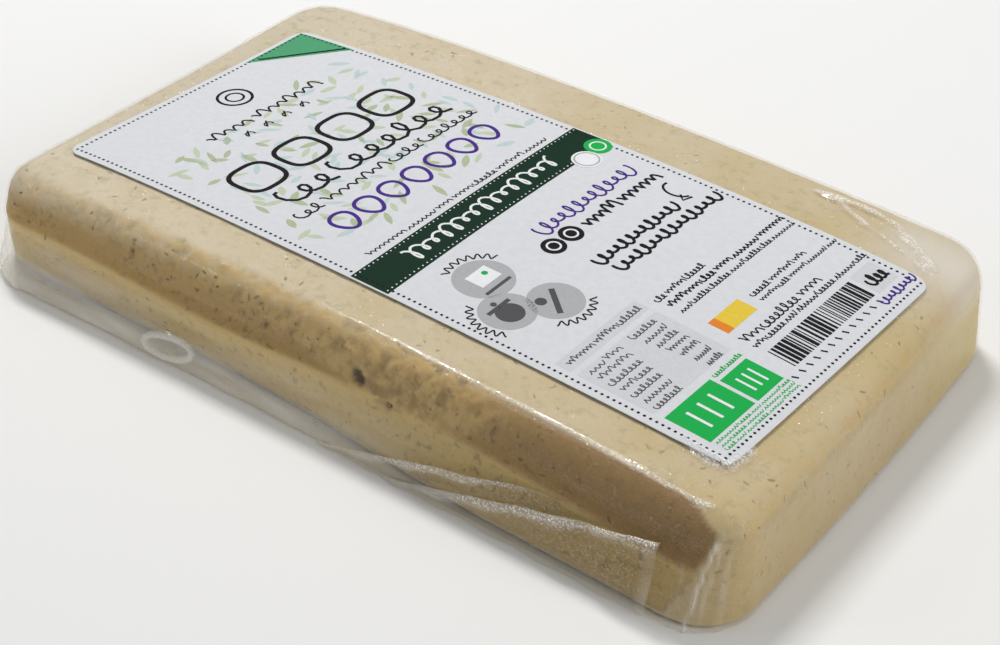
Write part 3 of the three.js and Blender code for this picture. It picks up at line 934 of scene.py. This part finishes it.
def script(ink, x, y_ends, height, width, loops):
    """A line of joined loops, like a flourish: a point that runs along the line while it goes
    round a leaning oval."""
    t = np.linspace(0, 1, loops * 14)
    turn = 2 * np.pi * loops * t
    swell_by = 0.34 + 0.14 * np.sin(turn * 0.27 + 1)
    lean = 0.22 * height * np.sin(turn)
    span = y_ends[1] - y_ends[0]
    stroke(ink, x - height * swell_by * np.cos(turn), y_ends[0] + span * t + lean, width)


def dots(ink, x, y, radius, lift=3):
    """Small six-sided dots at many places, as one slab each in a single mesh."""
    turn = np.arange(6) * np.pi / 3
    count = len(x)
    rim_x = np.asarray(x)[:, None] + radius * np.cos(turn)
    rim_y = np.asarray(y)[:, None] + radius * np.sin(turn)
    top = on_label(rim_x * mm, rim_y * mm, lift * hundredth)
    bottom = on_label(rim_x * mm, rim_y * mm, ink_foot)
    points = np.concatenate([top, bottom], axis=1).reshape(-1, 3)
    here = np.arange(6)
    after = (here + 1) % 6
    walls = np.stack([here, here + 6, after + 6, after], 1)
    caps = np.array([[0, 1, 2, 3], [0, 3, 4, 5], [6, 9, 8, 7], [6, 11, 10, 9]])
    faces = np.concatenate([caps, walls])[None] + np.arange(count)[:, None, None] * 12
    ink_slabs.setdefault(ink, []).append((points, faces.reshape(-1, 4)))


def lens(ink, x, y, lean, long, wide, lift):
    """A lens whose half width is wide / 2 * sin(pi t)^0.8 along its length."""
    t = np.linspace(0, 1, 7)
    across = np.array([-1.0, 1.0])[:, None] * wide / 2 * np.sin(np.pi * t) ** 0.8
    lay(ink, x + long * t * np.cos(lean) - across * np.sin(lean),
        y + long * t * np.sin(lean) + across * np.cos(lean), lift)


# A dotted border inside the label's edge.
inset, dot_pitch = 1.25, 0.98
edge_x, edge_y = label_length / mm / 2 - inset, label_width / mm / 2 - inset
steps_x, steps_y = int(2 * edge_x / dot_pitch), int(2 * edge_y / dot_pitch)
row_x, row_y = np.linspace(-edge_x, edge_x, steps_x), np.linspace(-edge_y, edge_y, steps_y)
dots("black", np.concatenate([row_x, row_x, 0 * row_y[1:-1] - edge_x, 0 * row_y[1:-1] + edge_x]),
     np.concatenate([0 * row_x - edge_y, 0 * row_x + edge_y, row_y[1:-1], row_y[1:-1]]), 0.24)

# White specks at the label's front +X corner, where it is crinkled: painted glints.
glint_speck_count = 130
rolls = np.random.default_rng(3)
corner_run = rolls.uniform(0, 1, glint_speck_count)
glint_x = np.where(corner_run < 0.7, 54.6 + 10.4 * corner_run, 61.9 - 0.2 * corner_run)
glint_y = np.where(corner_run < 0.7, -27.05, -26.9 + 10.0 * (corner_run - 0.7))
spread = 0.38 * (1 - 0.5 * corner_run)
dots("white", np.minimum(glint_x + rolls.normal(0, 0.25, glint_speck_count), 62.0),
     np.maximum(glint_y + rolls.normal(0, 1, glint_speck_count) * spread, -27.35), 0.13, 6)

# Plain lens shapes in pale greens, scattered evenly behind the first rows.
rolls = np.random.default_rng(5)
pale_inks = ("pale green", "sage green", "misty green")
for x in np.linspace(-46, -10, 12):
    for y in np.linspace(-21, 22, 14):
        across_x, across_y = rolls.uniform(-1.2, 1.2, 2)
        lens(pale_inks[rolls.integers(3)], x + across_x, y + across_y, rolls.uniform(0, 2 * np.pi),
             rolls.uniform(2.6, 4.2), rolls.uniform(0.8, 1.3), 1)

# The corner field, and two plain rings, a line of waves and four hooks at the label's head.
u, v = np.meshgrid(np.linspace(0, 1, 9), np.linspace(0, 1, 11))
lay("corner green", -61.4 + 12.1 * u * (1 - v), 26.6 - 14.1 * v, 2)
stroke("dark green", np.linspace(-60.6, -50.4, 30) + 0.35 * np.cos(np.linspace(0, 60, 30)),
       np.linspace(13.6, 25.6, 30) + 0.35 * np.cos(np.linspace(0, 60, 30)) + 0.9, 0.5)
ring("black", -53.7, 1.9, 2.9, 0.5)
ring("black", -53.7, 1.9, 1.5, 0.4)
scribble("black", -46.3, (14.2, -12.8), 2.4, 0.36, 13, 3)
for y in (6.9, 2.6, -1.7, -6.0):
    stroke("black", [-43.8, -42.2], [y + 0.5, y - 0.7], 0.3)
    ring("black", -42.6, y, 0.75, 0.28, round_by=4.2, start=1.0)

# The large rows: four round-cornered outlines, a row of ovals, and lines of waves.
for y in np.linspace(-15.4, 15.2, 4):
    turn = np.linspace(0, 2 * np.pi, 49)
    squared = (np.abs(np.cos(turn)) ** 3 + np.abs(np.sin(turn)) ** 3) ** (-1 / 3)
    stroke("black", -32.2 + 3.85 * squared * np.cos(turn), y + 4.1 * squared * np.sin(turn), 0.83)
scribble("black", -24.4, (20.1, -19.35), 4.6, 0.6, 10, 4)
scribble("black", -19.2, (21.7, -21.2), 2.0, 0.32, 22, 5)
for k, y in enumerate(np.linspace(-16.7, 17.0, 7)):
    t = np.linspace(0, 2 * np.pi, 33)
    lens_x, lens_y = 2.5 * np.cos(t), 2.0 * np.sin(t) * (1 - 0.25 * np.cos(t))
    stroke("violet", -12.95 + lens_x, y + lens_y, 0.65)
scribble("black", -4.35, (21.5, -22.1), 1.1, 0.2, 44, 6)

# The dark band across the label, with its dotted edges and a flourish along it.
field("dark green", (-2.8, 4.3), (-27.2, 27.2), 2, 1.2)
band_dots = np.linspace(-26.6, 26.6, 55)
for x in (-2.35, 3.75):
    dots("white", 0 * band_dots + x, band_dots, 0.14, 5)
script("white", 0.75, (-18.3, 17.0), 3.6, 0.42, 15)
disc("badge green", 3.7, 24.9, 2.3, 6)
ring("white", 3.7, 24.9, 1.3, 0.3, 7)
disc("white", 4.8, 20.4, 2.5, 6)
ring("grey", 4.8, 20.4, 2.0, 0.3, 7)

# The middle: flourishes, a line of waves with two round badges, and a bent arrow.
script("violet", 11.75, (22.5, -1.2), 3.3, 0.36, 12)
scribble("black", 15.7, (23.8, 3.9), 2.6, 0.46, 13, 8)
for y in (1.5, -2.8):
    disc("black", 15.6, y, 2.0)
    ring("white", 15.6, y, 1.05, 0.32, 5)
script("black", 23.0, (18.4, -2.1), 2.4, 0.5, 12)
script("black", 26.25, (25.3, -1.2), 2.4, 0.5, 15)
turn = np.linspace(0.2, 3.4, 20)
stroke("black", 20.7 + 2.4 * np.cos(turn), 22.3 - 1.9 * np.sin(turn), 0.4)
stroke("black", [21.9, 23.1, 23.6], [21.3, 20.2, 22.0], 0.4)

# Three grey discs with simple shapes on them, and arcs of waves beside them.
for x, y, radius in ((12.7, -15.8, 4.7), (20.1, -19.8, 4.3), (23.9, -13.4, 4.3)):
    disc("grey", x, y, radius, 2, 15)
field("white", (10.6, 14.0), (-17.6, -13.2), 4)
stroke("charcoal", [15.4, 15.4], [-18.6, -13.0], 0.55, 5)
disc("badge green", 11.9, -14.6, 0.5, 6, 5)
disc("charcoal", 20.6, -19.8, 2.2, 4)
field("charcoal", (18.2, 18.9), (-22.2, -17.4), 4)
disc("charcoal", 17.6, -19.8, 0.5, 4, 5)
stroke("charcoal", [21.7, 26.2], [-11.6, -15.4], 0.9, 4)
disc("charcoal", 22.4, -15.0, 0.9, 4, 5)
for x, y, radius, start in ((12.7, -15.8, 5.7, 1.9), (20.1, -19.8, 5.4, 3.6), (23.9, -13.4, 5.4, -0.9)):
    turn = start + np.linspace(0, 1.75, 90)
    reach = radius + 0.55 * np.cos(np.linspace(0, 44, 90))
    stroke("black", x + reach * np.cos(turn), y + reach * np.sin(turn), 0.24)

# The lower part: a grey table, lines of small waves, a two-coloured field, and bar stripes.
field("silver", (32.4, 35.1), (-25.1, -6.2), 2)
field("silver", (36.2, 48.95), (-25.1, -6.3), 2)
scribble("charcoal", 33.75, (-7.0, -24.4), 1.25, 0.2, 22, 10)
for k in range(7):
    scribble("charcoal", 37.1 + 1.85 * k, (-16.2 - 0.3 * k, -24.3), 1.15, 0.19, 8, 11 + k)
    scribble("charcoal", 37.1 + 1.85 * k, (-8.0, -14.0 + 0.4 * k), 1.15, 0.19, 7, 21 + k)
small_lines = (
    # place along the label, ends, height, width of the line, waves
    (34.8, (7.8, -4.6), 1.2, 0.2, 15), (36.9, (26.5, -4.4), 1.3, 0.26, 34),
    (38.85, (26.2, -4.4), 1.0, 0.18, 40), (44.3, (20.7, 5.8), 1.1, 0.19, 18),
    (46.0, (26.9, 5.8), 0.9, 0.17, 30), (49.3, (16.5, -4.2), 1.7, 0.24, 17),
    (51.1, (26.7, -4.1), 1.1, 0.19, 38),
)
for k, small_line in enumerate(small_lines):
    scribble("black", *small_line, 31 + k)
field("yellow", (43.3, 46.8), (-2.0, 4.0), 3)
field("orange", (43.3, 46.8), (-3.6, -2.0), 3)

rolls = np.random.default_rng(77)
edge = -3.3
while edge < 19.0:
    wide, gap = rolls.choice([0.22, 0.33, 0.5, 0.7]), rolls.choice([0.2, 0.28, 0.45])
    field("black", (53.05, 57.6), (edge, min(edge + wide, 19.5)), 2)
    edge += wide + gap
for y in np.arange(-5.6, 18.2, 1.95):
    stroke("black", [58.4, 59.3], [y, y + 0.5], 0.3)
field("silver", (52.7, 57.8), (19.8, 25.4), 2)
scribble("black", 55.3, (25.0, 20.2), 2.4, 0.5, 4, 40)
script("violet", 59.3, (27.0, 18.1), 1.6, 0.3, 8)

field("badge green", (51.6, 57.8), (-13.2, -6.6), 2)
field("badge green", (50.4, 57.8), (-24.9, -13.9), 2)
for y in (-11.4, -9.9, -8.4):
    stroke("white", [53.0, 56.4], [y, y], 0.4, 4)
for y in (-22.0, -19.4, -16.8):
    stroke("white", [52.0, 56.2], [y, y], 0.5, 4)
scribble("badge green", 50.4, (-6.3, -13.2), 0.8, 0.16, 12, 41)
for k in range(3):
    scribble("badge green", 58.4 + 0.85 * k, (-6.3, -24.9), 0.55, 0.12, 30, 42 + k)

ink_colours = {
    "black": (0.010, 0.010, 0.013), "charcoal": (0.09, 0.09, 0.095), "grey": (0.44, 0.445, 0.46),
    "silver": (0.64, 0.65, 0.68), "white": (0.84, 0.85, 0.87), "violet": (0.07, 0.026, 0.25),
    "dark green": (0.006, 0.030, 0.016), "corner green": (0.085, 0.36, 0.18),
    "badge green": (0.012, 0.43, 0.08), "pale green": (0.54, 0.61, 0.45),
    "sage green": (0.44, 0.51, 0.34), "misty green": (0.52, 0.64, 0.64),
    "orange": (0.80, 0.24, 0.03), "yellow": (0.80, 0.58, 0.06),
}
for ink, slabs in ink_slabs.items():
    full, thin = (*ink_colours[ink], 1), (*(0.93 * c + 0.006 for c in ink_colours[ink]), 1)
    look = matt_print(f"{ink} ink", full, thin, 0.0006)
    starts = np.cumsum([0] + [len(points) for points, _ in slabs[:-1]])
    points = np.concatenate([points for points, _ in slabs])
    faces = np.concatenate([faces + start for (_, faces), start in zip(slabs, starts)])
    print_piece = mesh_piece(f"print_{ink.replace(' ', '_')}", points, faces, {}, look)
    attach(print_piece, "root")

# ---------------------------------------------------------------------------------------------
# The studio: a plain pale floor, a soft light high behind the pack, whose mirror image lies
# along its front upper edge, a broader one from the +X end, a small faint one low at the front
# left, and a pale surround.

floor_size, floor_level = 4.0, -0.00001
floor_look, tree, floor_shader = principled("pale floor", Roughness=0.85, Specular_IOR_Level=0.1)
floor_colour = tint(tree, noise(tree, 0.4), (0.86, 0.86, 0.855, 1), (0.88, 0.88, 0.875, 1))
plug(tree, floor_shader.inputs["Base Color"], floor_colour)
corner = floor_size / 2
floor_corners = [(-corner, -corner, floor_level), (corner, -corner, floor_level),
                 (corner, corner, floor_level), (-corner, corner, floor_level)]
floor = mesh_piece("floor", floor_corners, np.array([[0, 1, 2, 3]]), {}, floor_look)


def soft_light(name, aim, direction, distance, size, power, colour):
    """A rectangular area light at aim + direction * distance that faces the aim, with its first
    side turned as near to the pack's length as it goes."""
    facing = Vector(direction).normalized()
    across = facing.cross(Vector((1, 0, 0))).normalized()
    along = across.cross(facing)
    lamp = bpy.data.lights.new(name, "AREA")
    lamp.shape = "RECTANGLE"
    lamp.size, lamp.size_y = size
    lamp.energy, lamp.color = power, colour
    made = bpy.data.objects.new(name, lamp)
    turned = Matrix((along, across, facing)).transposed().to_4x4()
    made.matrix_world = Matrix.Translation(Vector(aim) + facing * distance) @ turned
    bpy.context.scene.collection.objects.link(made)


soft_light("key", (0.03, -0.035, 0.018), (-0.445, 0.352, 0.823), 0.7, (0.21, 0.10), 2.9,
           (1.0, 0.985, 0.96))
soft_light("side", (0.07, 0, 0.01), (0.80, 0.08, 0.50), 0.8, (0.5, 0.5), 2.8, (1.0, 0.99, 0.97))
soft_light("low_left", (-0.028, -0.041, 0.003), (-0.608, -0.574, 0.549), 0.7, (0.10, 0.10), 0.25,
           (0.95, 0.97, 1.0))

world = bpy.data.worlds.new("pale surround")
world.use_nodes = True
world.node_tree.nodes["Background"].inputs["Color"].default_value = (0.96, 0.98, 1.0, 1)
world.node_tree.nodes["Background"].inputs["Strength"].default_value = 0.30
bpy.context.scene.world = world
bpy.context.scene.view_settings.view_transform = "Standard"

# ---------------------------------------------------------------------------------------------
# The camera: it looks down on the front +X corner from a little over two pack lengths away,
# slightly rolled. The pack fills the view from edge to edge.

camera_azimuth, camera_elevation, camera_roll = np.radians((-53.15, 34.84, 1.76))
camera_distance, camera_lens = 0.310, 75.31
off_middle = Vector((0.0133, -0.01245, -0.00096))
aim = (Vector(cad_low) + Vector(cad_high)) / 2 + off_middle

level = np.cos(camera_elevation)
back = Vector((level * np.cos(camera_azimuth), level * np.sin(camera_azimuth), np.sin(camera_elevation)))
flat_right = Vector((0, 0, 1)).cross(back).normalized()
right = flat_right * np.cos(camera_roll) + back.cross(flat_right) * np.sin(camera_roll)
up = back.cross(right)
camera = bpy.data.objects.new("camera", bpy.data.cameras.new("camera"))
camera.data.lens = camera_lens
camera.data.sensor_width = 36
camera.data.clip_start = 0.01
camera.matrix_world = Matrix.Translation(aim + back * camera_distance) @ Matrix(
    (right, up, back)).transposed().to_4x4()
bpy.context.scene.collection.objects.link(camera)
bpy.context.scene.camera = camera
